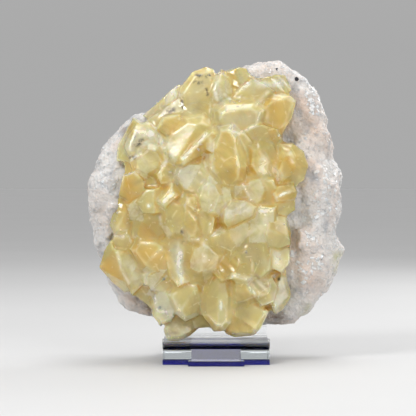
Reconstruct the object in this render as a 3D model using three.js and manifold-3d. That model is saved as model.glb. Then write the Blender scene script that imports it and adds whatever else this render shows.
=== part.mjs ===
// Yellow calcite cluster grown on a plate of white heulandite, held upright by a clear acrylic stand.
// Millimetres, +Z up, the crystals face -Y. The origin is under the middle of the object, on the surface that
// it stands on.
import * as THREE from 'three';
import { ConvexGeometry } from 'three/addons/geometries/ConvexGeometry.js';
import { mergeVertices } from 'three/addons/utils/BufferGeometryUtils.js';
import Module from 'manifold-3d';

const wasm = await Module();
wasm.setup();

// Driving dimensions

const GAP = 0.3; // left between pieces that touch

const PLATE = {
  centre: [0, 98], // x and z of the point that the outline is drawn round
  front: 21, // from the middle plane to the face that the calcite grows on
  back: 27, // from the middle plane to the broken back
  fullness: 3, // 2 is a lens, larger is a slab with a rounder rim
  core: 0.72, // share of the outline that the knobs and the rim bulge out from
  detail: 9, // cuts along each edge of the starting icosahedron
};

// Right to left round the plate, from the top: x and z of the rim.
const PLATE_OUTLINE = [
  [29, 182], [41, 179], [54, 169], [62, 160], [67, 141], [73, 126], [77, 104], [77, 86], [75, 79],
  [77, 66], [72, 47], [62, 34], [53, 24], [43, 20.5], [34, 19], [14, 22], [-11, 21.5], [-31, 20.5],
  [-48, 27], [-57, 31.5], [-68, 46], [-75, 72], [-79, 96], [-75, 116], [-71, 125], [-62, 135],
  [-50, 146], [-34, 150], [-15, 163], [6, 171], [18, 178],
];

// Rounded knobs of the heulandite crust, coarse ones first: pitch of the knobs and how far they stand out.
const KNOBS = [
  { pitch: 25, height: 9 },
  { pitch: 12, height: 4 },
];
const KNOB_LEVEL = 0.75; // share of a knob's height that lies under the plate's own surface

// Broad swellings of the plate's front beside the calcite: x and z of the middle, how wide, and how far out.
const MOUNDS = [
  { at: [60, 112], reach: 34, rise: 9 },
  { at: [60, 62], reach: 36, rise: 10 },
  { at: [42, 172], reach: 26, rise: 6 },
  { at: [-66, 104], reach: 30, rise: 7 },
  { at: [-52, 36], reach: 24, rise: 5 },
];

// Tablets of heulandite that stand out of the crust beside the calcite, in two arcs of the plate's front.
const TABLETS = {
  arcs: [
    { from: -62, to: 72, count: 14 },
    { from: 138, to: 236, count: 7 },
  ],
  spread: [0.55, 0.88], // share of the way from the middle to the rim
  half: [4, 7], // half-width, from and to
  shape: [1, 0.6, 0.7], // half-width, half-height and half-depth, as shares of the half-width
  lean: [0, 45], // away from straight ahead, in degrees
  sunk: 1.2, // how deep the middle lies under the crust
  seed: 7,
};

// The stand: a bent sheet with a front lip, a shelf and a back rest, on two feet and a base.
const SHEET = {
  thickness: 3,
  width: 63,
  lipFront: -39,
  lipTop: 15,
  shelfTop: 11.4,
  restBack: 31.5,
  restTop: 86,
  restWidth: 36,
  shoulder: 12, // height over which the sheet narrows to the back rest
  corner: 6, // radius of the back rest's top corners
  bend: 2, // inside radius of the bends
};
const FOOT = { width: 17, front: -36, back: 29 };
const BASE = { thickness: 3, front: -39, back: 31.5, tongueWidth: 33, tongueFront: -48.5 };

// Materials

const heulandite = new THREE.MeshStandardMaterial({ color: 0xe6dfda, roughness: 0.55, metalness: 0 });
const calcite = new THREE.MeshStandardMaterial({
  color: 0xd8c46a, roughness: 0.25, metalness: 0, transparent: true, opacity: 0.8,
});
const acrylic = new THREE.MeshStandardMaterial({
  color: 0xeaf0f4, roughness: 0.08, metalness: 0, transparent: true, opacity: 0.35,
});
const blueAcrylic = new THREE.MeshStandardMaterial({
  color: 0x141c66, roughness: 0.1, metalness: 0, transparent: true, opacity: 0.8,
});

// Solids

// A closed geometry as a solid that can be joined and cut.
function solidOf(geometry) {
  const bare = geometry.clone();
  bare.deleteAttribute('normal');
  bare.deleteAttribute('uv');
  const merged = mergeVertices(bare, 1e-4);
  return new wasm.Manifold(new wasm.Mesh({
    numProp: 3,
    vertProperties: merged.getAttribute('position').array,
    triVerts: new Uint32Array(merged.index.array),
  }));
}

// A solid as a geometry with flat-shaded faces.
function geometryOf(solid) {
  const { vertProperties, triVerts } = solid.getMesh();
  const geometry = new THREE.BufferGeometry();
  geometry.setAttribute('position', new THREE.BufferAttribute(vertProperties, 3));
  geometry.setIndex(new THREE.BufferAttribute(triVerts, 1));
  const flat = geometry.toNonIndexed();
  flat.computeVertexNormals();
  return flat;
}

function joined(solids) {
  return solids.reduce((sum, solid) => sum.add(solid));
}

// The largest body of a solid, without loose chips and sealed hollows.
function mainBody(solid) {
  return solid.decompose().reduce((best, body) => (body.volume() > best.volume() ? body : best));
}

function named(name, geometry, material) {
  const mesh = new THREE.Mesh(geometry, material);
  mesh.name = name;
  return mesh;
}

// Repeatable chance

// A number from 0 to 1 that depends only on three whole numbers.
function chanceAt(i, j, k) {
  let h = Math.imul(i, 374761393) ^ Math.imul(j, 668265263) ^ Math.imul(k, 2147483647);
  h = Math.imul(h ^ (h >>> 13), 1274126177);
  return ((h ^ (h >>> 16)) >>> 0) / 4294967296;
}

// A source of numbers from low to high that gives the same run for the same seed.
function chance(seed) {
  let n = 0;
  return (low = 0, high = 1) => low + (high - low) * chanceAt(seed, n++, 17);
}

// Heulandite plate

const outlineCurve = new THREE.CatmullRomCurve3(
  PLATE_OUTLINE.map(([x, z]) => new THREE.Vector3(x - PLATE.centre[0], 0, z - PLATE.centre[1])), true,
);
const rim = outlineCurve.getPoints(720)
  .map((p) => ({ angle: Math.atan2(p.z, p.x), radius: Math.hypot(p.x, p.z) }))
  .sort((a, b) => a.angle - b.angle);

// The outline's distance from the plate's centre in one direction.
function rimRadius(angle) {
  const next = rim.findIndex((r) => r.angle >= angle);
  return rim[next < 0 ? 0 : next].radius;
}

// Height of a field of round knobs at a point, from 0 in the creases to 1 on top of a knob.
function knobAt(point, pitch) {
  const cell = point.clone().divideScalar(pitch).floor();
  const seed = new THREE.Vector3();
  let nearest = Infinity;
  for (let i = -1; i <= 1; i++) {
    for (let j = -1; j <= 1; j++) {
      for (let k = -1; k <= 1; k++) {
        const [a, b, c] = [cell.x + i, cell.y + j, cell.z + k];
        seed.set(a + chanceAt(a, b, c), b + chanceAt(b, c, a + 50), c + chanceAt(c, a + 90, b));
        nearest = Math.min(nearest, seed.multiplyScalar(pitch).distanceTo(point));
      }
    }
  }
  return Math.max(0, 1 - (nearest / pitch) ** 2);
}

// Moves a point of a unit ball to the plate's surface, with its knobs.
function onPlate(ball, swell) {
  const power = 2 / PLATE.fullness;
  const angle = Math.atan2(ball.z, ball.x);
  const radius = rimRadius(angle) * Math.hypot(ball.x, ball.z) ** power;
  const depth = (ball.y < 0 ? PLATE.front : PLATE.back) * Math.abs(ball.y) ** power;
  const smooth = new THREE.Vector3(
    radius * Math.cos(angle), Math.sign(ball.y) * depth, radius * Math.sin(angle),
  );
  const inner = new THREE.Vector3(smooth.x * PLATE.core, 0, smooth.z * PLATE.core);
  const outward = smooth.clone().sub(inner).normalize();
  const knobs = KNOBS.reduce(
    (sum, { pitch, height }) => sum + height * (knobAt(smooth, pitch) - KNOB_LEVEL), 0,
  );
  smooth.add(new THREE.Vector3(PLATE.centre[0], 0, PLATE.centre[1]));
  if (ball.y < 0) smooth.y -= moundAt(smooth.x, smooth.z) * (1 - (1 + ball.y) ** 3);
  return smooth.addScaledVector(outward, knobs + swell);
}

// How far the broad swellings bring the plate's front out at one place.
function moundAt(x, z) {
  return MOUNDS.reduce((sum, { at, reach, rise }) => {
    const share = Math.hypot(x - at[0], z - at[1]) / reach;
    return sum + rise * Math.max(0, 1 - share ** 2) ** 2;
  }, 0);
}

// The plate, swollen by a distance all over.
function plate(swell = 0, detail = PLATE.detail) {
  const geometry = new THREE.IcosahedronGeometry(1, detail);
  const position = geometry.getAttribute('position');
  const point = new THREE.Vector3();
  for (let i = 0; i < position.count; i++) {
    const moved = onPlate(point.fromBufferAttribute(position, i), swell);
    position.setXYZ(i, moved.x, moved.y, moved.z);
  }
  return solidOf(geometry);
}

// Crystals

const FRONT = new THREE.Vector3(0, -1, 0);

// A direction that leans from the front by one angle, towards another angle round it, both in degrees.
function leaning(lean, around) {
  const [a, b] = [THREE.MathUtils.degToRad(lean), THREE.MathUtils.degToRad(around)];
  return new THREE.Vector3(Math.sin(a) * Math.cos(b), -Math.cos(a), Math.sin(a) * Math.sin(b));
}

// The plane through a point that faces one way.
function planeAt(point, facing) {
  const normal = facing.clone().normalize();
  return { normal, distance: normal.dot(point) };
}

// The point where three planes meet, or null where they are nearly parallel.
function meeting(a, b, c) {
  const cross = b.normal.clone().cross(c.normal);
  const volume = a.normal.dot(cross);
  if (Math.abs(volume) < 1e-3) return null;
  return cross.multiplyScalar(a.distance)
    .addScaledVector(c.normal.clone().cross(a.normal), b.distance)
    .addScaledVector(a.normal.clone().cross(b.normal), c.distance)
    .divideScalar(volume);
}

// The convex solid inside a set of planes.
function inside(planes) {
  const corners = [];
  for (let i = 0; i < planes.length; i++) {
    for (let j = i + 1; j < planes.length; j++) {
      for (let k = j + 1; k < planes.length; k++) {
        const corner = meeting(planes[i], planes[j], planes[k]);
        if (corner && planes.every((p) => p.normal.dot(corner) < p.distance + 1e-6)) corners.push(corner);
      }
    }
  }
  return new ConvexGeometry(corners);
}

// Heulandite matrix

// A ring of equal faces: how far they lean from the front, how many, where the first is, and their distance.
function ring(lean, count, first, distance) {
  return Array.from({ length: count }, (_, i) => ({ lean, around: first + (360 / count) * i, distance }));
}

// The faces of a tablet about one unit across, and how unevenly they grow: each face's lean and turn, in
// degrees, and its share of distance, up or down.
const TABLET_FACES = [
  ...ring(0, 1, 0, 0.42), ...ring(64, 2, 0, 0.8), ...ring(78, 4, 45, 0.9), ...ring(180, 1, 0, 1),
];
const UNEVEN = { lean: 7, turn: 9, distance: 0.07 };

// One tablet, scaled to its half-sizes, turned and set in its place.
function tablet({ at, half, roll, lean, seed }) {
  const pick = chance(seed);
  const geometry = inside(TABLET_FACES.map((face) => ({
    normal: leaning(
      face.lean + pick(-UNEVEN.lean, UNEVEN.lean), face.around + pick(-UNEVEN.turn, UNEVEN.turn),
    ),
    distance: face.distance * pick(1 - UNEVEN.distance, 1 + UNEVEN.distance),
  })));
  const turn = new THREE.Quaternion().setFromUnitVectors(FRONT, leaning(...lean))
    .multiply(new THREE.Quaternion().setFromAxisAngle(FRONT, THREE.MathUtils.degToRad(-roll)));
  const place = new THREE.Matrix4().compose(at, turn, new THREE.Vector3(half[0], half[2], half[1]));
  return solidOf(geometry.applyMatrix4(place));
}

// The plate with tablets of heulandite grown out of its front.
function heulanditeMatrix() {
  const pick = chance(TABLETS.seed);
  const tablets = TABLETS.arcs.flatMap(({ from, to, count }) => Array.from({ length: count }, () => {
    const around = THREE.MathUtils.degToRad(pick(from, to));
    const spread = pick(...TABLETS.spread) ** (PLATE.fullness / 2);
    const ball = new THREE.Vector3(
      spread * Math.cos(around), -Math.sqrt(1 - spread ** 2), spread * Math.sin(around),
    );
    const half = pick(...TABLETS.half);
    return tablet({
      at: onPlate(ball, -TABLETS.sunk),
      half: TABLETS.shape.map((share) => share * half),
      roll: pick(0, 180),
      lean: [pick(...TABLETS.lean), pick(0, 360)],
      seed: Math.floor(half * 1e4),
    });
  }));
  return mainBody(joined([plate(), ...tablets]));
}

// Calcite cluster

// The cluster swells out in the middle: how far in front of the middle plane, round which x and z, and how
// fast it falls off across and up. flare is how much a crystal's sides widen towards the plate, in degrees,
// depth how far back it reaches, and spread how far it grows past its outline into its neighbours.
const CLUSTER = { middle: [-3, 85], out: 42, across: 0.0032, up: 0.002, flare: 20, depth: 24, spread: 1 };

// The crystals that can be told apart. outline is what shows from the front, x and z. rise is how far the
// front stands out of the cluster's swelling. Each of the faces leans to the right and up by those slopes.
// soft is the width of the rounding at its edges.
const CRYSTALS = [
  // top
  { rise: -4, faces: [[-0.05, 0.12]], soft: 3, flare: 2, depth: 17,
    outline: [[-23, 152], [-22, 162], [-14, 172.5], [-6, 175.5], [-1.5, 174],
      [0, 170], [-1, 152], [-12, 145.5]] },
  { rise: -8, faces: [[-0.35, 0.2], [0.5, 0.1]], flare: 2, depth: 16,
    outline: [[-44, 146.5], [-40, 150], [-30, 159.5], [-22, 165], [-19, 158], [-22, 144], [-34, 143]] },
  { rise: -2, faces: [[0.1, 0.2]], flare: 8,
    outline: [[-34, 139], [-30, 145], [-22, 146], [-19, 140], [-24, 135.5], [-30, 135]] },
  { rise: -2, faces: [[-0.2, 0.2], [0.3, 0.3]], soft: 3, flare: 4,
    outline: [[-5, 163], [-2, 169], [3, 171.5], [7, 169], [9.5, 162], [7, 153], [0, 151.5], [-5, 156]] },
  { rise: -4, faces: [[-0.3, 0.2], [0.3, 0.4]], flare: 4, depth: 18,
    outline: [[6, 172.5], [14, 175.3], [18, 174.5], [21.5, 167], [14, 159], [8, 158]] },
  { rise: -7, faces: [[0, 0.3]], flare: 3, depth: 12,
    outline: [[1, 169], [3.3, 174], [7, 172], [7, 166]] },
  { rise: 0, faces: [[0.15, -0.1], [-0.25, 0.1]], flare: 10,
    outline: [[10, 157], [15, 163], [21, 168], [28, 165], [34, 161], [31, 154], [22, 149.5], [13, 151]] },
  { rise: -1, faces: [[0.25, 0.3]], flare: 4,
    outline: [[23, 168], [36, 171], [41, 170.5], [45, 162], [41, 157.5], [33, 157], [26, 162]] },
  { rise: 1.5, faces: [[0.25, 0.05]], soft: 1.5, flare: 5,
    outline: [[26, 147], [29, 154.5], [36, 158.5], [44, 158], [47, 155],
      [44.5, 145], [38, 134.5], [30, 136]] },
  { rise: 1, faces: [[0.1, -0.45]], flare: 8,
    outline: [[15, 134], [21, 139.5], [28, 141], [36, 138], [37.5, 133], [35, 128], [24, 128.5]] },
  { rise: 3.5, faces: [[0.05, -0.28]], soft: 1,
    outline: [[0, 141], [1, 147], [6, 150.5], [22, 151], [26, 148], [25, 142], [13, 135.5], [6, 137]] },
  // upper left
  { rise: -3, faces: [[-0.6, 0.2]], flare: 4,
    outline: [[-59, 120], [-58, 129], [-53, 138], [-49, 144.5], [-45, 142], [-47, 130], [-52, 119]] },
  { rise: 1, faces: [[-0.12, 0.3], [0.2, 0.05]], soft: 1.5, flare: 5,
    outline: [[-54, 128], [-52, 134], [-47, 141], [-40, 142], [-35, 137.5],
      [-33, 131], [-39, 124], [-51, 122]] },
  { rise: 2, faces: [[-0.1, -0.3], [0.15, 0.05]], soft: 3, flare: 10,
    outline: [[-50, 119], [-46, 126], [-40, 130], [-33, 128], [-29.5, 121],
      [-33, 112], [-41, 109.5], [-48, 113]] },
  { rise: -2, faces: [[-0.4, -0.1]], flare: 4,
    outline: [[-57.5, 99], [-55, 111], [-48, 113.5], [-42.5, 108], [-43, 98], [-50, 95.5]] },
  { rise: -4, faces: [[-0.3, 0.35]], flare: 4, outline: [[-58, 97], [-46, 97.5], [-44, 91], [-58, 89]] },
  { rise: -2, faces: [[-0.45, 0.1], [0.05, -0.2]], soft: 2, flare: 3,
    outline: [[-63, 82], [-61.5, 88], [-56, 93], [-50, 91.5], [-48.5, 84], [-52, 77.5], [-60, 76.5]] },
  { rise: -1, faces: [[0.2, -0.2]], outline: [[-51, 93], [-46, 97], [-42.5, 93], [-44, 87], [-50, 86]] },
  { rise: 0, faces: [[-0.25, 0.25], [0.15, 0]], soft: 1.5,
    outline: [[-31, 130], [-26, 137], [-19, 142.5], [-8, 144], [0, 140],
      [0, 132], [-10, 122], [-24, 117.5], [-30, 122]] },
  { rise: 4, faces: [[0.35, -0.25], [-0.4, 0.45]], flare: 22,
    outline: [[-5, 137.5], [-1.5, 135], [-9, 124.5], [-19, 118.5], [-21.5, 120.5], [-13, 127]] },
  { rise: 2.5, faces: [[0.3, 0.3]],
    outline: [[-5.5, 127], [-4, 133], [-1, 135], [0.5, 131], [-2, 125.5]] },
  // middle
  { rise: 4, faces: [[-0.1, 0.08]], soft: 2,
    outline: [[2, 139], [8, 140.5], [12, 136], [15, 122], [15, 109],
      [8, 103.5], [1, 106], [-5, 117], [-2, 130]] },
  { rise: 0, faces: [[0.3, -0.1]],
    outline: [[11, 136], [17, 135], [21, 129], [21, 111], [15, 106], [12, 120]] },
  { rise: 4, faces: [[-0.25, -0.05], [0.3, 0.1]], soft: 2.5,
    outline: [[19, 128], [25, 130], [32, 127.5], [34.5, 121], [33, 113],
      [28, 108.5], [22, 109.5], [19, 117]] },
  { rise: 4.5, faces: [[0.1, 0.05], [-0.15, -0.1]], soft: 6, flare: 6,
    outline: [[31.5, 113], [33, 123], [38, 129], [45, 129], [51, 124.5],
      [53.5, 117], [51, 109], [44, 104.5], [36, 104.5]] },
  { rise: 2, faces: [[-0.15, -0.2], [0.25, 0.05]], soft: 1,
    outline: [[16, 106], [20, 110], [27, 110], [29, 103], [27, 96.5], [23.5, 93.5], [19, 96]] },
  { rise: 0, faces: [[0.25, -0.1]],
    outline: [[27, 108], [33, 107.5], [35.5, 100], [33, 92.5], [27, 92.5]] },
  { rise: 3, faces: [[0.25, -0.3], [0.05, 0.3]], flare: 6,
    outline: [[34, 101], [37, 105], [45, 106], [47.5, 101], [46, 96.5], [40, 96], [35.5, 94.5]] },
  { rise: -1, faces: [[0.3, -0.2]], flare: 5,
    outline: [[34, 95], [46, 97], [46.5, 91], [41, 87.5], [35, 89]] },
  { rise: -1, faces: [[0, -0.4]], outline: [[5, 104], [19, 105], [20.5, 97], [14, 94], [7, 94.5]] },
  { rise: 0, faces: [[-0.3, -0.1]],
    outline: [[0.5, 97], [4, 104], [7.5, 102], [9, 95], [6, 88], [1, 87.5]] },
  { rise: 1, faces: [[-0.15, 0.2], [0.1, 0.05]], soft: 2,
    outline: [[-25, 113], [-20, 119], [-10, 120.5], [-4.5, 115], [-1, 108],
      [-6, 101], [-14, 99.5], [-22, 103]] },
  { rise: 3.5, faces: [[0.2, 0.1], [-0.25, 0.1]], soft: 1.5,
    outline: [[-9, 105], [-4, 109.5], [1, 106], [3.5, 101], [1, 90],
      [-5, 87.5], [-10.5, 91], [-11, 99]] },
  { rise: 1.5, faces: [[-0.3, 0.2], [0.2, 0.2]], flare: 14,
    outline: [[-46, 95], [-41, 102], [-33, 103.5], [-26, 101], [-30, 91], [-37, 89], [-43, 90]] },
  { rise: 5, faces: [[0.4, -0.2], [-0.3, 0.4]], flare: 24,
    outline: [[-31, 96.5], [-26, 102], [-24.5, 100], [-29.5, 94.5]] },
  { rise: 0, faces: [[0, 0.2]], outline: [[-34, 112], [-30, 117], [-26, 115], [-27, 108], [-32, 107]] },
  { rise: 0, faces: [[-0.1, -0.3], [0.2, 0]], soft: 1,
    outline: [[-47, 82], [-42, 88], [-33, 89], [-30, 84], [-30.5, 77],
      [-35, 73], [-42, 71.5], [-47, 75]] },
  { rise: 2, faces: [[-0.15, 0.05]], soft: 1.5,
    outline: [[-31, 91], [-26, 97], [-20, 95], [-18, 84], [-20, 76], [-27, 76.5], [-31, 83]] },
  { rise: 3.5, faces: [[0.1, 0.15], [-0.2, -0.05]], soft: 2,
    outline: [[-20.5, 95], [-17, 100], [-11.5, 100.5], [-9.5, 92], [-9, 80],
      [-12, 73.5], [-17, 74], [-20.5, 81]] },
  { rise: 1, faces: [[0, -0.2]],
    outline: [[-10, 90], [-4, 90], [-1.5, 85], [-3, 79], [-7, 75.5], [-10, 80]] },
  { rise: 4.5, faces: [[0, 0.3]],
    outline: [[5, 85], [6.5, 92], [9.5, 95.5], [16, 95.5], [21.5, 92.5],
      [20.5, 89], [11, 83.5], [7, 82]] },
  { rise: 2.5, faces: [[-0.12, -0.25], [0.2, -0.1]], soft: 1,
    outline: [[-4.5, 82], [0, 89], [6, 88], [12, 85], [20, 90], [20, 76],
      [15, 69], [6, 65.5], [0, 69.5], [-4.5, 76]] },
  { rise: 2.5, faces: [[-0.1, 0.1], [0.2, -0.15]],
    outline: [[20, 90.5], [26, 92], [33.5, 91.5], [33, 83], [29.5, 73.5], [20, 73], [19, 81]] },
  { rise: 4, faces: [[0.3, 0.25], [0.1, -0.3]], flare: 6,
    outline: [[29, 78], [33, 88.5], [40.5, 86.5], [42.5, 79], [43, 71], [37, 68.5], [30.5, 70.5]] },
  // lower left
  { rise: -1, faces: [[-0.5, -0.1]], soft: 2, flare: 2,
    outline: [[-69.3, 56.5], [-66.5, 66], [-62, 72.5], [-57, 70], [-53, 53],
      [-49, 45], [-54, 41.5], [-61, 46.5]] },
  { rise: 1.5, faces: [[0.3, -0.05], [-0.15, 0.2]], soft: 1.5, flare: 4,
    outline: [[-59, 67], [-53, 67], [-45, 60.5], [-41, 54], [-43, 47], [-49.5, 40.5], [-53, 47]] },
  { rise: 0, faces: [[0.3, 0.2]], flare: 8,
    outline: [[-43.5, 52], [-41.5, 54.5], [-38.5, 50], [-38.5, 46.5], [-42, 47]] },
  { rise: 2.5, faces: [[-0.15, 0.1], [0.1, -0.15]], soft: 2, flare: 12,
    outline: [[-49.5, 68], [-46, 73.5], [-37, 74.5], [-30, 71.5], [-26, 62],
      [-27, 55.5], [-34, 52.5], [-43, 56]] },
  { rise: 1.5, faces: [[0.2, 0.1], [-0.2, 0.1]],
    outline: [[-30, 73], [-24, 77], [-18.5, 73], [-17, 64], [-16.5, 50], [-22, 47.5], [-27, 54]] },
  { rise: 0, faces: [[0, -0.3]], flare: 8,
    outline: [[-41, 52], [-34, 56], [-26.5, 56], [-24, 48], [-30, 43.5], [-38, 43.5]] },
  { rise: 6, faces: [[-0.25, 0.05], [0.25, 0.05]], soft: 4,
    outline: [[-19.5, 62], [-16.5, 70], [-7, 76.5], [1, 71], [5.5, 65],
      [4, 56.5], [-6, 50.5], [-15, 51.5], [-19.5, 56]] },
  // bottom
  { rise: 0, faces: [[-0.3, -0.05]], soft: 1, flare: 4,
    outline: [[-38, 36], [-36, 42], [-31, 44.5], [-26, 41], [-23.5, 31],
      [-27, 25], [-33, 23.5], [-37.5, 29]] },
  { rise: 3, faces: [[-0.2, 0], [0.1, -0.2]], soft: 2, flare: 8,
    outline: [[-28, 41], [-23, 47], [-13, 49.5], [-8, 46], [-7.5, 36], [-11, 29], [-18, 26], [-24, 31]] },
  { rise: 6, faces: [[-0.18, -0.05], [0.25, -0.05]], soft: 3, flare: 4,
    outline: [[-9, 38], [-6, 48], [-1, 55], [5, 55], [9, 49], [10, 38],
      [8.5, 25], [5, 20.5], [-1, 20], [-8, 29]] },
  { rise: 3, faces: [[0, 0.25]],
    outline: [[-2, 57], [2.5, 66.5], [10, 67], [13, 60], [10, 52], [3, 50]] },
  { rise: 3, faces: [[0.05, 0.2]], soft: 1,
    outline: [[6, 62], [10, 67], [17, 68], [21, 62], [22, 55], [17, 51.5], [10, 52.5]] },
  { rise: 2, faces: [[0.2, 0.15]],
    outline: [[16, 66], [22, 73.5], [29, 72.5], [31.5, 65], [31, 57], [26, 53], [20, 55]] },
  { rise: 1, faces: [[0.35, 0.1]], flare: 5,
    outline: [[30, 68], [37, 70.5], [43, 68], [43.5, 60], [38.5, 54], [33, 56.5], [29.5, 62]] },
  { rise: 6, faces: [[0.1, 0.55], [0, -0.3]], flare: 22,
    outline: [[9.5, 53.5], [15, 55], [19.5, 52], [17, 49], [12, 49.5]] },
  { rise: 4.5, faces: [[0.08, -0.15]], soft: 1.5,
    outline: [[9, 44], [10.5, 50.5], [17, 50.5], [23, 41], [18, 36.5], [10.5, 35]] },
  { rise: 2, faces: [[0.25, 0.1]],
    outline: [[18.5, 52], [26, 56], [31.5, 52], [30, 43], [24, 39.5], [20, 45]] },
  { rise: 2, faces: [[0.35, -0.1]], flare: 8,
    outline: [[26, 46], [33, 51], [36, 45], [33.5, 37], [27, 34.5], [23, 40]] },
  { rise: 3.5, faces: [[0.05, -0.3], [0.25, 0]], soft: 2, flare: 3, depth: 20,
    outline: [[5, 20], [9, 33], [16, 37], [25, 36.5], [31, 31],
      [26, 21], [22, 17], [11, 15.8], [6.5, 17.5]] },
  { rise: 0, faces: [[0.4, 0.05]], soft: 2, flare: 3,
    outline: [[32, 35], [34, 48], [38.5, 54.5], [42, 50], [44.3, 40], [39.5, 32], [35, 29.5]] },
  { rise: -4, faces: [[-0.15, -0.15], [0.15, 0.1]], soft: 2, flare: 2, depth: 18,
    outline: [[-31, 19], [-28, 27.5], [-20, 30], [-12, 28], [-11.2, 19],
      [-16, 15.5], [-23, 12.9], [-29, 13.2]] },
  { rise: -3, faces: [[0, -0.35]], flare: 4, depth: 18,
    outline: [[-14, 30], [-7, 33], [-3, 28], [-3, 21.5], [-13, 20.5]] },
];

// The ground of calcite that the crystals rise from: half the size of its round swelling in x, y and z, how
// far in front of the middle plane it ends at the rim, how finely it is divided, and its outline, x and z.
const GROUND = { half: [78, 38.5, 98], rim: 5, detail: 5 };
const GROUND_OUTLINE = [
  [-12, 164], [12, 168], [38, 166], [43, 152], [37, 134], [49, 124], [46, 98], [41, 84], [42, 46], [30, 28],
  [2, 24], [-24, 22], [-36, 30], [-56, 46], [-64, 58], [-60, 78], [-54, 104], [-55, 132], [-40, 145],
];

// A round swelling of calcite inside the ground's outline.
function calciteGround() {
  const outline = new THREE.Shape(GROUND_OUTLINE.map(([x, z]) => new THREE.Vector2(x, z)));
  const prism = new THREE.ExtrudeGeometry(outline, { depth: CLUSTER.out, bevelEnabled: false });
  prism.rotateX(Math.PI / 2).translate(0, -GROUND.rim, 0);
  const swelling = new THREE.IcosahedronGeometry(1, GROUND.detail).scale(...GROUND.half)
    .translate(CLUSTER.middle[0], 0, CLUSTER.middle[1]);
  return solidOf(prism).intersect(solidOf(swelling));
}

// One crystal: its front inside its outline, with sides that widen towards the plate.
function crystal({ outline, rise, faces, soft = 0, flare = CLUSTER.flare, depth = CLUSTER.depth }) {
  const points = outline.map(([x, z]) => new THREE.Vector3(x, 0, z));
  const middle = points.reduce((sum, point) => sum.add(point), new THREE.Vector3());
  middle.divideScalar(points.length);
  const [right, up] = [middle.x - CLUSTER.middle[0], middle.z - CLUSTER.middle[1]];
  middle.y = CLUSTER.across * right ** 2 + CLUSTER.up * up ** 2 - CLUSTER.out - rise;
  const fronts = faces.map(([x, z]) => planeAt(middle, new THREE.Vector3(x, -1, z)));
  const onFront = ({ x, z }) => new THREE.Vector3(
    x, middle.y + Math.max(...faces.map((f) => f[0] * (x - middle.x) + f[1] * (z - middle.z))), z,
  );
  const back = planeAt(middle.clone().addScaledVector(FRONT, -depth), FRONT.clone().negate());
  const widening = Math.tan(THREE.MathUtils.degToRad(flare));
  const growth = CLUSTER.spread * flare / CLUSTER.flare;
  const sides = points.flatMap((from, i) => {
    const to = points[(i + 1) % points.length];
    const half = from.clone().lerp(to, 0.5);
    const outward = new THREE.Vector3(to.z - from.z, 0, from.x - to.x).normalize();
    if (outward.dot(half) < outward.dot(middle)) outward.negate();
    const side = outward.clone().addScaledVector(FRONT, widening);
    const rounding = outward.clone().addScaledVector(FRONT, 1);
    const planes = [planeAt(onFront(half).addScaledVector(outward, growth), side)];
    return soft ? [...planes, planeAt(onFront(half.addScaledVector(outward, -soft)), rounding)] : planes;
  });
  return solidOf(inside([...fronts, ...sides, back]));
}

// Every crystal joined in one solid, cut off where the plate begins.
function calciteCluster(matrix) {
  const solids = CRYSTALS.map(crystal);
  return mainBody(joined([calciteGround(), ...solids]).subtract(matrix.add(plate(GAP))));
}

// Stand

const ALONG_X = new THREE.Matrix4().makeBasis(
  new THREE.Vector3(0, 1, 0), new THREE.Vector3(0, 0, 1), new THREE.Vector3(1, 0, 0),
);

// A shape drawn in y and z, made as wide as the stand along x.
function acrossStand(shape, width, middle = 0) {
  const geometry = new THREE.ExtrudeGeometry(shape, { depth: width, bevelEnabled: false, curveSegments: 6 });
  return geometry.translate(0, 0, middle - width / 2).applyMatrix4(ALONG_X);
}

function rectangle(x0, y0, x1, y1) {
  return new THREE.Shape([[x0, y0], [x1, y0], [x1, y1], [x0, y1]].map(([x, y]) => new THREE.Vector2(x, y)));
}

// The side view of the bent sheet, in y and z: front lip, shelf and back rest.
function sheetProfile() {
  const { thickness, lipFront, lipTop, shelfTop, restBack, restTop, bend } = SHEET;
  const under = shelfTop - thickness;
  const outer = bend + thickness;
  const [lipInside, restInside] = [lipFront + thickness, restBack - thickness];
  const profile = new THREE.Shape();
  profile.moveTo(lipFront, lipTop);
  profile.lineTo(lipFront, under + outer);
  profile.absarc(lipFront + outer, under + outer, outer, Math.PI, 1.5 * Math.PI);
  profile.absarc(restBack - outer, under + outer, outer, 1.5 * Math.PI, 2 * Math.PI);
  profile.lineTo(restBack, restTop);
  profile.lineTo(restInside, restTop);
  profile.absarc(restInside - bend, shelfTop + bend, bend, 0, -0.5 * Math.PI, true);
  profile.absarc(lipInside + bend, shelfTop + bend, bend, 1.5 * Math.PI, Math.PI, true);
  profile.lineTo(lipInside, lipTop);
  return profile;
}

// The front view of the bent sheet, in x and z: as wide as the shelf below, narrowed to the back rest above.
function sheetOutline() {
  const { width, lipTop, restTop, restWidth, shoulder, corner, bend } = SHEET;
  const [half, restHalf] = [width / 2, restWidth / 2];
  const low = lipTop + bend;
  const outline = new THREE.Shape();
  outline.moveTo(-half, 0);
  outline.lineTo(half, 0);
  outline.lineTo(half, low);
  outline.quadraticCurveTo(restHalf, low, restHalf, low + shoulder);
  outline.absarc(restHalf - corner, restTop - corner, corner, 0, 0.5 * Math.PI);
  outline.absarc(corner - restHalf, restTop - corner, corner, 0.5 * Math.PI, Math.PI);
  outline.lineTo(-restHalf, low + shoulder);
  outline.quadraticCurveTo(-restHalf, low, -half, low);
  return outline;
}

// The bent sheet: what its side view and its front view have in common.
function cradle() {
  const depth = 2 * (SHEET.restBack - SHEET.lipFront);
  const front = new THREE.ExtrudeGeometry(sheetOutline(), { depth, bevelEnabled: false, curveSegments: 6 });
  front.rotateX(Math.PI / 2).translate(0, depth / 2, 0);
  return solidOf(acrossStand(sheetProfile(), SHEET.width)).intersect(solidOf(front));
}

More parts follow.
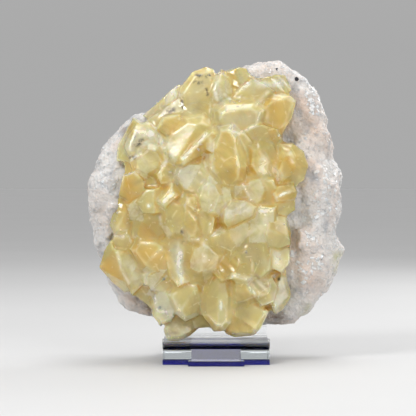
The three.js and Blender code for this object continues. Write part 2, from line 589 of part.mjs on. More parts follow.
// A clear block between the base and the shelf, on one side.
function foot(side) {
  const block = rectangle(FOOT.front, BASE.thickness, FOOT.back, SHEET.shelfTop - SHEET.thickness);
  return acrossStand(block, FOOT.width, side * (SHEET.width - FOOT.width) / 2);
}

// The base, with a tongue in the middle of its front edge.
function base() {
  const [half, tongue] = [SHEET.width / 2, BASE.tongueWidth / 2];
  const outline = new THREE.Shape([
    [-half, BASE.front], [-tongue, BASE.front], [-tongue, BASE.tongueFront], [tongue, BASE.tongueFront],
    [tongue, BASE.front], [half, BASE.front], [half, BASE.back], [-half, BASE.back],
  ].map(([x, y]) => new THREE.Vector2(x, y)));
  return new THREE.ExtrudeGeometry(outline, { depth: BASE.thickness, bevelEnabled: false });
}

// Assembly

const matrix = heulanditeMatrix();
const specimen = new THREE.Group();
specimen.add(named('heulandite_matrix', geometryOf(matrix), heulandite));
specimen.add(named('calcite_cluster', geometryOf(calciteCluster(matrix)), calcite));

const stand = new THREE.Group();
stand.add(named('stand_cradle', geometryOf(cradle()), acrylic));
stand.add(named('stand_left_foot', foot(-1), acrylic));
stand.add(named('stand_right_foot', foot(1), acrylic));
stand.add(named('stand_base', base(), blueAcrylic));

// The origin goes under the middle of the whole.
const object = new THREE.Group();
object.add(specimen, stand);
const middle = new THREE.Box3().setFromObject(object).getCenter(new THREE.Vector3());
object.children.forEach((group) => group.position.set(-middle.x, -middle.y, 0));

export default object;
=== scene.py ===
"""Yellow calcite cluster on a plate of white heulandite, held upright by a clear acrylic stand.

Every length is in metres unless its name says millimetres, +Z is up, and the crystals face -Y.
"""

import logging
import math
import random
from collections.abc import Callable, Sequence
from dataclasses import dataclass
from enum import Enum

import bmesh
import bpy
import numpy as np
from mathutils import Matrix, Quaternion, Vector, noise
from mathutils.bvhtree import BVHTree


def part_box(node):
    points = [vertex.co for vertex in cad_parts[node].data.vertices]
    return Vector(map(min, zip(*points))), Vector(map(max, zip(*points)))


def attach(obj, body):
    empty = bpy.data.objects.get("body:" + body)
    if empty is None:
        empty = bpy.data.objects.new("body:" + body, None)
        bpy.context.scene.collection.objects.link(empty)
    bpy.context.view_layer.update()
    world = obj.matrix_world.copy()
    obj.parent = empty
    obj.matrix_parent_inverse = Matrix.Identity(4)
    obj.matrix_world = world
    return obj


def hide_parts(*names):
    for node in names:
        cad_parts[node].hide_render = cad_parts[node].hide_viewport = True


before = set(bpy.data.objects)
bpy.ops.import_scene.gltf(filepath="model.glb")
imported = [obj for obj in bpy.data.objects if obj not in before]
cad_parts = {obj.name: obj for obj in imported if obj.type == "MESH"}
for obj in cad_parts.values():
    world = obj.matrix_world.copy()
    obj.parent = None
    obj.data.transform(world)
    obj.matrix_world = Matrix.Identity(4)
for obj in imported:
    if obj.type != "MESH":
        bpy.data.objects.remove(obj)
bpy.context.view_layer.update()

BODY = "root"
MM = 0.001
MERGE_DISTANCE = 1e-6

Colour = tuple[float, float, float, float]
Spot = tuple[float, float]
Inputs = dict[str | int, object]
Socket = bpy.types.NodeSocket

log = logging.getLogger("specimen")


class Slot(Enum):
    """The record's material slots."""

    HEULANDITE = "heulandite"
    CALCITE = "calcite"
    CLEAR_ACRYLIC = "clear_acrylic"
    BLUE_ACRYLIC = "blue_acrylic"


class Trait(Enum):
    """What sets a patch of mineral apart from the rest, and where shade and highlights are painted on it,
    kept as a value at each point of its mesh.
    """

    # How much sky a point sees; the finishes paint shade where it sees little.
    OPEN = "open"
    EDGE = "edge"
    FACET = "facet"
    CLEAR = "clear"
    AMBER = "amber"
    # White flaws, cracks and worn spots, and painted highlights and glints.
    FROST_AND_HIGHLIGHT = "frost_and_highlight"
    SPECK = "speck"
    EARTH = "earth"
    BLUSH = "blush"
    MOSS = "moss"
    SPARKLE = "sparkle"


@dataclass(frozen=True)
class Mark:
    """A patch or streak that the viewer sees from the front.

    Attributes:
        trait: what sets it apart.
        route: x and z of the points along its middle, in millimetres.
        reach: how far it spreads from its middle, in millimetres.
        strength: how strong it is in its middle, from 0 to 1.
    """

    trait: Trait
    route: tuple[Spot, ...]
    reach: float
    strength: float = 1.0

    def weight(self, spots: np.ndarray) -> np.ndarray:
        """The mark's strength at many places.

        Args:
            spots: x and z of each place, in millimetres.

        Returns:
            One value for each place, falling smoothly to 0 at the mark's reach.
        """
        route = [np.array(point) for point in self.route]
        stretches = list(zip(route, route[1:])) or [(route[0], route[0])]
        nearest = np.full(len(spots), np.inf)
        for start, end in stretches:
            along = end - start
            share = ((spots - start) @ along) / max(along @ along, 1e-9)
            foot = start + np.clip(share, 0, 1)[:, None] * along
            nearest = np.minimum(nearest, np.linalg.norm(spots - foot, axis=1))
        fall = np.clip(1 - nearest / self.reach, 0, 1)
        return self.strength * fall * fall * (3 - 2 * fall)


def marks(trait: Trait, *rows: tuple) -> tuple[Mark, ...]:
    """Marks of one trait.

    Args:
        trait: what sets them apart.
        rows: the route, the reach and, if it isn't 1, the strength of each.

    Returns:
        The marks.
    """
    return tuple(Mark(trait, *row) for row in rows)


# Mesh helpers


def placed(made: bmesh.types.BMesh, name: str) -> bpy.types.Object:
    """Turns a finished bmesh into an object of the scene.

    Args:
        made: the shape, which is freed.
        name: the object's name.

    Returns:
        The new object, at the origin.
    """
    mesh = bpy.data.meshes.new(name)
    made.to_mesh(mesh)
    made.free()
    piece = bpy.data.objects.new(name, mesh)
    bpy.context.scene.collection.objects.link(piece)
    return piece


def merged_copy(node: str) -> bmesh.types.BMesh:
    """Copies a node's solid, with its loose triangles joined.

    Args:
        node: the node's name.

    Returns:
        A new bmesh.
    """
    made = bmesh.new()
    made.from_mesh(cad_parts[node].data)
    bmesh.ops.remove_doubles(made, verts=made.verts, dist=MERGE_DISTANCE)
    return made


def settle(piece: bpy.types.Object) -> None:
    """Makes the result of a piece's modifiers its own mesh.

    Args:
        piece: the object to settle.
    """
    evaluated = piece.evaluated_get(bpy.context.evaluated_depsgraph_get())
    rough = piece.data
    piece.data = bpy.data.meshes.new_from_object(evaluated)
    piece.data.name = piece.name
    piece.modifiers.clear()
    bpy.data.meshes.remove(rough)


def reskin(piece: bpy.types.Object, voxel: float, rounds: int) -> None:
    """Gives a piece one even skin with its sharp edges slightly rounded.

    Args:
        piece: the object to cover.
        voxel: the size of the skin's faces.
        rounds: how often the skin is smoothed.
    """
    skin = piece.modifiers.new("skin", "REMESH")
    skin.mode = "VOXEL"
    skin.voxel_size = voxel
    soften = piece.modifiers.new("soften", "SMOOTH")
    soften.factor = 0.5
    soften.iterations = rounds
    settle(piece)
    made = bmesh.new()
    made.from_mesh(piece.data)
    drop_chips(made)
    made.to_mesh(piece.data)
    made.free()
    piece.data.shade_smooth()


def drop_chips(made: bmesh.types.BMesh) -> None:
    """Removes every loose part of a shape but the largest.

    Args:
        made: the shape.
    """
    left = set(made.verts)
    shells: list[set[bmesh.types.BMVert]] = []
    while left:
        shell: set[bmesh.types.BMVert] = set()
        edge_of_shell = [left.pop()]
        while edge_of_shell:
            vert = edge_of_shell.pop()
            shell.add(vert)
            near = [edge.other_vert(vert) for edge in vert.link_edges]
            fresh = [other for other in near if other in left]
            left.difference_update(fresh)
            edge_of_shell.extend(fresh)
        shells.append(shell)
    shells.sort(key=len)
    chips = [vert for shell in shells[:-1] for vert in shell]
    bmesh.ops.delete(made, geom=chips, context="VERTS")


def points_of(mesh: bpy.types.Mesh) -> np.ndarray:
    """The places of a mesh's points.

    Args:
        mesh: the mesh.

    Returns:
        A row of x, y and z for each point.
    """
    flat = np.empty(len(mesh.vertices) * 3, np.float32)
    mesh.vertices.foreach_get("co", flat)
    return flat.reshape(-1, 3).astype(float)


def normals_of(mesh: bpy.types.Mesh) -> np.ndarray:
    """The directions that a mesh's points face.

    Args:
        mesh: the mesh.

    Returns:
        A row of x, y and z for each point.
    """
    flat = np.empty(len(mesh.vertices) * 3, np.float32)
    mesh.vertex_normals.foreach_get("vector", flat)
    return flat.reshape(-1, 3).astype(float)


def push_out(mesh: bpy.types.Mesh, distance: np.ndarray) -> None:
    """Moves each point of a mesh along its normal.

    Args:
        mesh: the mesh to change.
        distance: how far each point moves.
    """
    moved = points_of(mesh) + normals_of(mesh) * distance[:, None]
    mesh.vertices.foreach_set("co", moved.astype(np.float32).ravel())
    mesh.update()


def note(mesh: bpy.types.Mesh, trait: Trait, values: np.ndarray) -> None:
    """Keeps a trait's value at each point of a mesh.

    Args:
        mesh: the mesh that has the trait.
        trait: the trait.
        values: one value for each point.
    """
    kept = mesh.attributes.new(trait.value, "FLOAT", "POINT")
    kept.data.foreach_set("value", np.clip(values, 0, 1).astype(np.float32))


def note_marks(mesh: bpy.types.Mesh, marks: Sequence[Mark], traits: Sequence[Trait]) -> None:
    """Keeps the strength of every mark of some traits at each point of a mesh that faces the viewer.

    Args:
        mesh: the mesh that has the marks.
        marks: the marks.
        traits: the traits to keep.
    """
    spots = points_of(mesh)[:, [0, 2]] / MM
    facing = np.clip(-3 * normals_of(mesh)[:, 1], 0, 1)
    for trait in traits:
        weights = [mark.weight(spots) for mark in marks if mark.trait is trait]
        note(mesh, trait, np.max(weights, axis=0) * facing)


def standing_out(mesh: bpy.types.Mesh, rounds: int) -> np.ndarray:
    """How far each point of a mesh stands out of its smoothed surroundings.

    Args:
        mesh: the mesh.
        rounds: how often the surroundings are smoothed.

    Returns:
        One distance for each point, below 0 in creases.
    """
    points = points_of(mesh)
    pairs = np.empty(len(mesh.edges) * 2, np.int32)
    mesh.edges.foreach_get("vertices", pairs)
    one, other = pairs.reshape(-1, 2).T
    count = len(points)
    degree = np.bincount(one, minlength=count) + np.bincount(other, minlength=count)
    smooth = points.copy()
    for _ in range(rounds):
        for axis in range(3):
            value = smooth[:, axis].copy()
            total = np.bincount(one, value[other], count) + np.bincount(other, value[one], count)
            smooth[:, axis] = total / degree
    return ((points - smooth) * normals_of(mesh)).sum(axis=1)


def openness(mesh: bpy.types.Mesh, reach: float, rays: int, seed: int) -> np.ndarray:
    """The share of the sky that each point of a mesh sees.

    Args:
        mesh: the mesh.
        reach: how near something has to be to count as in the way.
        rays: how many directions are tried.
        seed: what the choice of directions starts from.

    Returns:
        One value for each point, from 0 in deep creases to 1.
    """
    made = bmesh.new()
    made.from_mesh(mesh)
    tree = BVHTree.FromBMesh(made)
    pick = random.Random(seed)
    aims = [Vector((pick.gauss(0, 1), pick.gauss(0, 1), pick.gauss(0, 1))).normalized() for _ in range(rays)]
    seen = np.empty(len(mesh.vertices))
    for i, vert in enumerate(made.verts):
        start = vert.co + vert.normal * (0.2 * MM)
        clear = 0
        for aim in aims:
            way = (vert.normal * 1.05 + aim).normalized()
            clear += tree.ray_cast(start, way, reach)[0] is None
        seen[i] = clear / rays
    made.free()
    return seen


def facet_shade(mesh: bpy.types.Mesh, faces: bmesh.types.BMesh) -> np.ndarray:
    """A shade for each flat face of a solid, carried over to a finer mesh of it.

    Args:
        mesh: the finer mesh.
        faces: the solid, whose flat faces are split in triangles.

    Returns:
        One value for each point of the finer mesh, the same all over one flat face.
    """
    faces.faces.ensure_lookup_table()
    shades = []
    for face in faces.faces:
        lie = face.normal.dot(face.verts[0].co) / MM
        shades.append(random.Random(f"{face.normal.x:.2f} {face.normal.z:.2f} {lie:.1f}").random())
    tree = BVHTree.FromBMesh(faces)
    return np.array([shades[tree.find_nearest(vert.co)[2]] for vert in mesh.vertices])


def scattered(
    made: bmesh.types.BMesh, count: int, pick: random.Random, fits: Callable[[Vector, Vector], bool]
) -> list[tuple[Vector, Vector]]:
    """Chooses places on a shape, evenly over its surface.

    Args:
        made: the shape.
        count: how many places are tried.
        pick: the source of chance.
        fits: says whether a place with its normal is wanted.

    Returns:
        The wanted places, each with its normal.
    """
    faces = list(made.faces)
    chosen = pick.choices(faces, weights=[face.calc_area() for face in faces], k=count)
    places = []
    for face in chosen:
        weights = [pick.random() for _ in face.verts]
        at = sum((vert.co * w for vert, w in zip(face.verts, weights)), Vector()) / sum(weights)
        if fits(at, face.normal):
            places.append((at, face.normal.copy()))
    return places


def turned_to(normal: Vector, pick: random.Random, lean: float) -> Quaternion:
    """A turn that brings +Z near a normal, spun and leaned by chance.

    Args:
        normal: the direction to turn to.
        pick: the source of chance.
        lean: the most that it leans away, in radians.

    Returns:
        The turn.
    """
    upright = normal.to_track_quat("Z", "Y") @ Quaternion((0, 0, 1), pick.uniform(0, math.tau))
    return upright @ Quaternion((1, 0, 0), pick.uniform(-lean, lean))


# Materials


class Graph:
    """The nodes of one material."""

    def __init__(self, name: str) -> None:
        """Starts a material with its shader.

        Args:
            name: the material's name.
        """
        self.material = bpy.data.materials.new(name)
        self.material.use_nodes = True
        self.tree = self.material.node_tree
        self.shader = self.tree.nodes["Principled BSDF"]
        self.output = self.tree.nodes["Material Output"]
        self.place = self.add("ShaderNodeTexCoord").outputs["Object"]

    def add(self, kind: str, inputs: Inputs | None = None, **settings: object) -> bpy.types.Node:
        """Adds a node.

        Args:
            kind: Blender's name of the node.
            inputs: a value or a socket for each input.
            settings: the node's own settings.

        Returns:
            The new node.
        """
        node = self.tree.nodes.new(kind)
        for name, value in settings.items():
            setattr(node, name, value)
        self.feed(node, inputs or {})
        return node

    def feed(self, node: bpy.types.Node, inputs: Inputs) -> None:
        """Gives a node's inputs their values.

        Args:
            node: the node.
            inputs: a value or a socket for each input.
        """
        for name, value in inputs.items():
            if isinstance(value, Socket):
                self.tree.links.new(value, node.inputs[name])
            else:
                node.inputs[name].default_value = value

    def trait(self, trait: Trait) -> Socket:
        """A trait's value, read from the mesh."""
        return self.add("ShaderNodeAttribute", attribute_name=trait.value).outputs["Fac"]

    def noise(self, scale: float, detail: float = 3, distortion: float = 0) -> Socket:
        """Soft noise from 0 to 1.

        Args:
            scale: how many waves there are to a metre.
            detail: how many finer waves are added.
            distortion: how far the waves are bent.

        Returns:
            The value.
        """
        inputs = {"Vector": self.place, "Scale": scale, "Detail": detail, "Distortion": distortion}
        return self.add("ShaderNodeTexNoise", inputs).outputs["Fac"]

    def stripes(self, scale: float) -> Socket:
        """Slightly bent parallel stripes, from 0 to 1.

        Args:
            scale: how close the stripes are.

        Returns:
            The value.
        """
        inputs = {"Vector": self.place, "Scale": scale, "Distortion": 2.5, "Detail": 2.0}
        return self.add("ShaderNodeTexWave", inputs, bands_direction="DIAGONAL").outputs["Fac"]

    def cells(self, scale: float, feature: str = "F1") -> bpy.types.Node:
        """Cells like packed grains.

        Args:
            scale: how many grains there are to a metre.
            feature: what the distance is to, by Blender's name: a grain's middle or its edge.

        Returns:
            The node, with the distance and the colour of each grain.
        """
        return self.add("ShaderNodeTexVoronoi", {"Vector": self.place, "Scale": scale}, feature=feature)

    def math(self, operation: str, *values: object) -> Socket:
        """Works out a value from one to three others, kept from 0 to 1.

        Args:
            operation: Blender's name of the operation.
            values: numbers or sockets.

        Returns:
            The result.
        """
        node = self.add("ShaderNodeMath", dict(enumerate(values)), operation=operation, use_clamp=True)
        return node.outputs[0]

    def spread(self, value: Socket, start: Spot, end: Spot) -> Socket:
        """Stretches a value from one range to another.

        Args:
            value: the value.
            start: the range that it has.
            end: the range that it gets.

        Returns:
            The new value, kept inside its range.
        """
        inputs = {"Value": value, 1: start[0], 2: start[1], 3: end[0], 4: end[1]}
        return self.add("ShaderNodeMapRange", inputs).outputs[0]

    def blend(self, share: object, first: object, second: object) -> Socket:
        """Mixes two colours.

        Args:
            share: how much of the second colour there is.
            first: a colour or a socket.
            second: a colour or a socket.

        Returns:
            The mixed colour.
        """
        node = self.add("ShaderNodeMix", {0: share, 6: first, 7: second}, data_type="RGBA")
        return node.outputs[2]

    def bump(self, height: object, distance: float, normal: Socket | None = None) -> Socket:
        """Bends the surface's normal by a height.

        Args:
            height: the height, from 0 to 1.
            distance: how high 1 is.
            normal: the normal to start from.

        Returns:
            The bent normal.
        """
        inputs: Inputs = {"Height": height, "Distance": distance, "Strength": 1.0}
        if normal is not None:
            inputs["Normal"] = normal
        return self.add("ShaderNodeBump", inputs).outputs["Normal"]

    def absorb(self, colour: Colour, density: float) -> None:
        """Tints the light on its way through the solid.

        Args:
            colour: the tint.
            density: how quickly the light takes it on.
        """
        node = self.add("ShaderNodeVolumeAbsorption", {"Color": colour, "Density": density})
        self.tree.links.new(node.outputs["Volume"], self.output.inputs["Volume"])

    def finish(self, inputs: Inputs) -> bpy.types.Material:
        """Sets the shader's own values.

        Args:
            inputs: a value or a socket for each input.

        Returns:
            The finished material.
        """
        self.feed(self.shader, inputs)
        return self.material


@dataclass(frozen=True)
class CalciteFinish:
    """Clear to milky yellow crystal, amber in patches and on some faces, with satin faces, pale flaws,
    painted highlights and amber-brown painted shade in its crevices.

    Attributes:
        lemon: the crystal's own colour.
        amber: its colour in amber patches, in clouds and on some faces, and the painted shade where little
            sky reaches it.
        painted_crevice_shade: the dark amber-brown painted shade deep between the crystals.
        clear: its colour where it is clearest.
        frost_and_highlight: the white of flaws, cracks and worn edges, also the colour of painted highlights
            along edges and at some marked spots.
        speck: the colour of dark specks.
        absorption: the tint that light takes on inside.
        density: how quickly it takes that tint on.
        index: how strongly it bends light.
        glow: how far light spreads under its faces.
        cloud_waves: how many milky clouds there are to a metre.
        flaw_waves: how many flaws there are to a metre.
        grain_waves: how many grains there are to a metre.
        crack_cells: how many blocks to a metre the cracks part it in.
        ripple_waves: how many ripples there are to a metre.
        ripple: how high the ripples on its faces are.
        stripe_waves: how close the steps on its striped faces are.
        stripe: how high those steps are.
        grain: how high the grains are.
    """

    lemon: Colour = (0.94, 0.82, 0.38, 1)
    amber: Colour = (0.90, 0.62, 0.16, 1)
    painted_crevice_shade: Colour = (0.66, 0.36, 0.06, 1)
    clear: Colour = (0.98, 0.91, 0.64, 1)
    frost_and_highlight: Colour = (0.96, 0.95, 0.90, 1)
    speck: Colour = (0.05, 0.06, 0.09, 1)
    absorption: Colour = (0.98, 0.87, 0.36, 1)
    density: float = 18
    index: float = 1.58
    glow: float = 6 * MM
    cloud_waves: float = 55
    flaw_waves: float = 190
    grain_waves: float = 420
    crack_cells: float = 75
    ripple_waves: float = 130
    ripple: float = 0.3 * MM
    stripe_waves: float = 95
    stripe: float = 0.22 * MM
    grain: float = 0.06 * MM

    def material(self) -> bpy.types.Material:
        """Makes the finish.

        Returns:
            The material.
        """
        graph = Graph("calcite")
        cloud = graph.noise(self.cloud_waves, detail=5, distortion=0.6)
        grain = graph.noise(self.grain_waves, detail=3)
        clear = self.clearness(graph, cloud)
        frost_and_highlight = self.whiteness(graph, cloud)
        milk = graph.spread(cloud, (0.35, 0.7), (0.3, 0.55))
        milk = graph.math("MULTIPLY_ADD", frost_and_highlight, 0.45, milk)
        milk = graph.math("SUBTRACT", milk, graph.math("MULTIPLY", clear, 0.06))
        satin = graph.spread(cloud, (0.3, 0.7), (0.05, 0.22))
        speck = graph.math("MULTIPLY", graph.trait(Trait.SPECK), graph.spread(grain, (0.4, 0.56), (0.1, 1.0)))
        colour = graph.blend(clear, self.body_colour(graph, cloud), self.clear)
        # White flaws and cracks, with painted highlights along edges and at some marked spots.
        colour = graph.blend(frost_and_highlight, colour, self.frost_and_highlight)
        graph.absorb(self.absorption, self.density)
        return graph.finish({
            "Base Color": graph.blend(speck, colour, self.speck),
            "Roughness": graph.math("MULTIPLY_ADD", frost_and_highlight, 0.25, satin),
            "IOR": self.index,
            "Transmission Weight": graph.math("SUBTRACT", 1.0, milk),
            "Subsurface Weight": 1.0,
            "Subsurface Radius": (1.0, 0.8, 0.35),
            "Subsurface Scale": self.glow,
            "Normal": self.relief(graph, grain),
        })

    def clearness(self, graph: Graph, cloud: Socket) -> Socket:
        """How clear the crystal is, by its marks and from face to face.

        Args:
            graph: the material's nodes.
            cloud: the milky clouds.

        Returns:
            A value from 0 to 1.
        """
        clear = graph.math("MULTIPLY", graph.trait(Trait.CLEAR), graph.spread(cloud, (0.3, 0.5), (0.6, 1.0)))
        clear_face = graph.spread(graph.trait(Trait.FACET), (0.35, 0.1), (0.0, 1.0))
        return graph.math("MULTIPLY_ADD", clear_face, 0.35, clear)

    def whiteness(self, graph: Graph, cloud: Socket) -> Socket:
        """How white the flaws, the cracks, the palest faces and the edges are, with painted highlights along
        the edges and at some marked spots.

        Args:
            graph: the material's nodes.
            cloud: the milky clouds.

        Returns:
            A value from 0 to 1.
        """
        flaw = graph.noise(self.flaw_waves, detail=4, distortion=1.2)
        streak = graph.spread(flaw, (0.35, 0.6), (0.4, 0.95))
        # The marks hold white flaws and, at some spots, painted highlights.
        streak = graph.math("MULTIPLY", graph.trait(Trait.FROST_AND_HIGHLIGHT), streak)
        # Edges that stand out turn white: partly worn edges, partly a painted highlight along them.
        edge = graph.math("MULTIPLY", graph.trait(Trait.EDGE), graph.spread(cloud, (0.42, 0.62), (0.0, 0.4)))
        apart = graph.cells(self.crack_cells, "DISTANCE_TO_EDGE").outputs["Distance"]
        crack = graph.spread(apart, (0.0, 0.05), (1.0, 0.0))
        crack = graph.math("MULTIPLY", crack, graph.spread(flaw, (0.5, 0.6), (0.0, 0.3)))
        pale_face = graph.spread(graph.trait(Trait.FACET), (0.22, 0.12), (0.0, 0.32))
        pale_face = graph.math("MULTIPLY", pale_face, graph.spread(flaw, (0.3, 0.6), (0.3, 1.0)))
        white = graph.math("MAXIMUM", streak, edge)
        white = graph.math("MAXIMUM", white, crack)
        return graph.math("MAXIMUM", white, pale_face)

    def body_colour(self, graph: Graph, cloud: Socket) -> Socket:
        """The yellow of the crystal, deeper in amber patches, in clouds and on some faces, with painted shade
        where little sky reaches it: amber, and dark amber-brown deep in the crevices.

        Args:
            graph: the material's nodes.
            cloud: the milky clouds.

        Returns:
            The colour.
        """
        seen = graph.trait(Trait.OPEN)
        # Painted shade: the less sky a point sees, the more amber it is painted.
        depth = graph.spread(seen, (0.8, 0.35), (0.0, 1.0))
        depth = graph.math("ADD", depth, graph.spread(cloud, (0.45, 0.75), (0.0, 0.25)))
        depth = graph.math("MULTIPLY_ADD", graph.trait(Trait.AMBER), 0.6, depth)
        deep_face = graph.spread(graph.trait(Trait.FACET), (0.5, 0.8), (0.0, 1.0))
        depth = graph.math("MULTIPLY_ADD", deep_face, 0.35, depth)
        colour = graph.blend(depth, self.lemon, self.amber)
        # Painted shade: dark amber-brown deep in the crevices, where little sky is seen.
        return graph.blend(graph.spread(seen, (0.6, 0.15), (0.0, 0.85)), colour, self.painted_crevice_shade)

    def relief(self, graph: Graph, grain: Socket) -> Socket:
        """The ripples, the steps of striped faces and the grain of the crystal.

        Args:
            graph: the material's nodes.
            grain: the grain's height.

        Returns:
            The bent normal.
        """
        ripple = graph.bump(graph.noise(self.ripple_waves, detail=2), self.ripple)
        striped_face = graph.spread(graph.trait(Trait.FACET), (0.55, 0.7), (0.0, 1.0))
        stripes = graph.math("MULTIPLY", graph.stripes(self.stripe_waves), striped_face)
        return graph.bump(grain, self.grain, graph.bump(stripes, self.stripe, ripple))


@dataclass(frozen=True)
class HeulanditeFinish:
    """White sugary crust with pale pink, tan and grey tints, grey painted shade in its creases and a sparkle
    of small faces, the bright tablets among them with a painted glint.

    Attributes:
        white: the crust's own colour.
        pink: its colour in broad blushes.
        grey: its colour in mottles, and the painted shade in its creases.
        glint: the whiter colour painted on bright tablets, a painted glint.
        earth: the colour of soil in its hollows.
        moss: the colour of its greenish patches.
        speck: the colour of dark specks.
        index: how strongly it bends light.
        glow: how far light spreads under its surface.
        blush_waves: how many blushes there are to a metre.
        mottle_waves: how many mottles there are to a metre.
        face_cells: how many small faces there are to a metre.
        face: how far the small faces stand out.
        grain_waves: how many grains there are to a metre.
        grain: how high the grains are.
    """

    white: Colour = (0.69, 0.665, 0.64, 1)
    pink: Colour = (0.68, 0.54, 0.45, 1)
    grey: Colour = (0.40, 0.40, 0.41, 1)
    glint: Colour = (0.93, 0.93, 0.92, 1)
    earth: Colour = (0.22, 0.14, 0.09, 1)
    moss: Colour = (0.58, 0.56, 0.34, 1)
    speck: Colour = (0.02, 0.02, 0.03, 1)
    index: float = 1.5
    glow: float = 2.2 * MM
    blush_waves: float = 38
    mottle_waves: float = 150
    face_cells: float = 620
    face: float = 0.5 * MM
    grain_waves: float = 900
    grain: float = 0.12 * MM

    def material(self) -> bpy.types.Material:
        """Makes the finish.

        Returns:
            The material.
        """
        graph = Graph("heulandite")
        faces = graph.cells(self.face_cells)
        glint = graph.spread(faces.outputs["Color"], (0.75, 0.85), (0.0, 1.0))
        glint = graph.math("MAXIMUM", glint, graph.trait(Trait.FROST_AND_HIGHLIGHT))
        sugar = graph.bump(faces.outputs["Distance"], self.face)
        return graph.finish({
            "Base Color": self.colour(graph),
            "Roughness": graph.spread(glint, (0.0, 1.0), (0.5, 0.08)),
            "IOR": self.index,
            "Subsurface Weight": 0.55,
            "Subsurface Radius": (1.0, 0.85, 0.75),
            "Subsurface Scale": self.glow,
            "Normal": graph.bump(graph.noise(self.grain_waves, detail=2), self.grain, sugar),
        })

    def colour(self, graph: Graph) -> Socket:
        """The crust's colour with its blushes, mottles, stains and specks, painted shade in its creases and
        painted glints on bright tablets.

        Args:
            graph: the material's nodes.

        Returns:
            The colour.
        """
        blush = graph.noise(self.blush_waves, detail=4, distortion=0.8)
        mottle = graph.noise(self.mottle_waves, detail=4)
        pink = graph.spread(blush, (0.48, 0.7), (0.0, 0.7))
        pink = graph.math("MULTIPLY_ADD", graph.trait(Trait.BLUSH), 0.5, pink)
        # Painted shade: grey where little sky reaches the crust.
        crease = graph.spread(graph.trait(Trait.OPEN), (0.75, 0.3), (0.0, 0.4))
        stain = graph.spread(mottle, (0.35, 0.6), (0.2, 1.0))
        speck = graph.spread(graph.trait(Trait.SPECK), (0.35, 0.5), (0.0, 1.0))
        colour = graph.blend(pink, self.white, self.pink)
        colour = graph.blend(graph.spread(mottle, (0.5, 0.72), (0.0, 0.8)), colour, self.grey)
        # Painted glint: bright tablets are whitened.
        colour = graph.blend(graph.trait(Trait.FROST_AND_HIGHLIGHT), colour, self.glint)
        colour = graph.blend(crease, colour, self.grey)
        colour = graph.blend(graph.math("MULTIPLY", graph.trait(Trait.EARTH), stain), colour, self.earth)
        colour = graph.blend(graph.math("MULTIPLY", graph.trait(Trait.MOSS), stain), colour, self.moss)
        return graph.blend(speck, colour, self.speck)


@dataclass(frozen=True)
class AcrylicFinish:
    """Polished sheet with faint scuffs.

    Attributes:
        name: the material's name.
        colour: the surface's tint.
        absorption: the tint that light takes on inside.
        density: how quickly it takes that tint on.
        index: how strongly it bends light.
    """

    name: str
    colour: Colour
    absorption: Colour
    density: float
    index: float = 1.49

    def material(self) -> bpy.types.Material:
        """Makes the finish.

        Returns:
            The material.
        """
        graph = Graph(self.name)
        scuff = graph.noise(scale=240, detail=6, distortion=2)
        graph.absorb(self.absorption, self.density)
        return graph.finish({
            "Base Color": self.colour,
            "Roughness": graph.spread(scuff, (0.55, 0.8), (0.015, 0.16)),
            "IOR": self.index,
            "Transmission Weight": 1.0,
        })


CLEAR_SHEET = AcrylicFinish("clear_acrylic", (0.98, 0.99, 1.0, 1), (0.82, 0.92, 0.95, 1), 9)
BLUE_SHEET = AcrylicFinish("blue_acrylic", (0.3, 0.36, 1.0, 1), (0.06, 0.1, 0.8, 1), 90)


# The specimen


def dress(piece: bpy.types.Object, material: bpy.types.Material, slot: Slot, *nodes: str) -> None:
    """Gives a piece its finish and its place on the frame.

    Args:
        piece: the object.
        material: its finish.
        slot: the record's slot that the finish goes with; not used.
        nodes: the CAD nodes that it stands for.
    """
    piece.data.materials.clear()
    piece.data.materials.append(material)
    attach(piece, BODY)
    if nodes:
        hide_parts(*nodes)
    log.info("%s: %d faces", piece.name, len(piece.data.polygons))


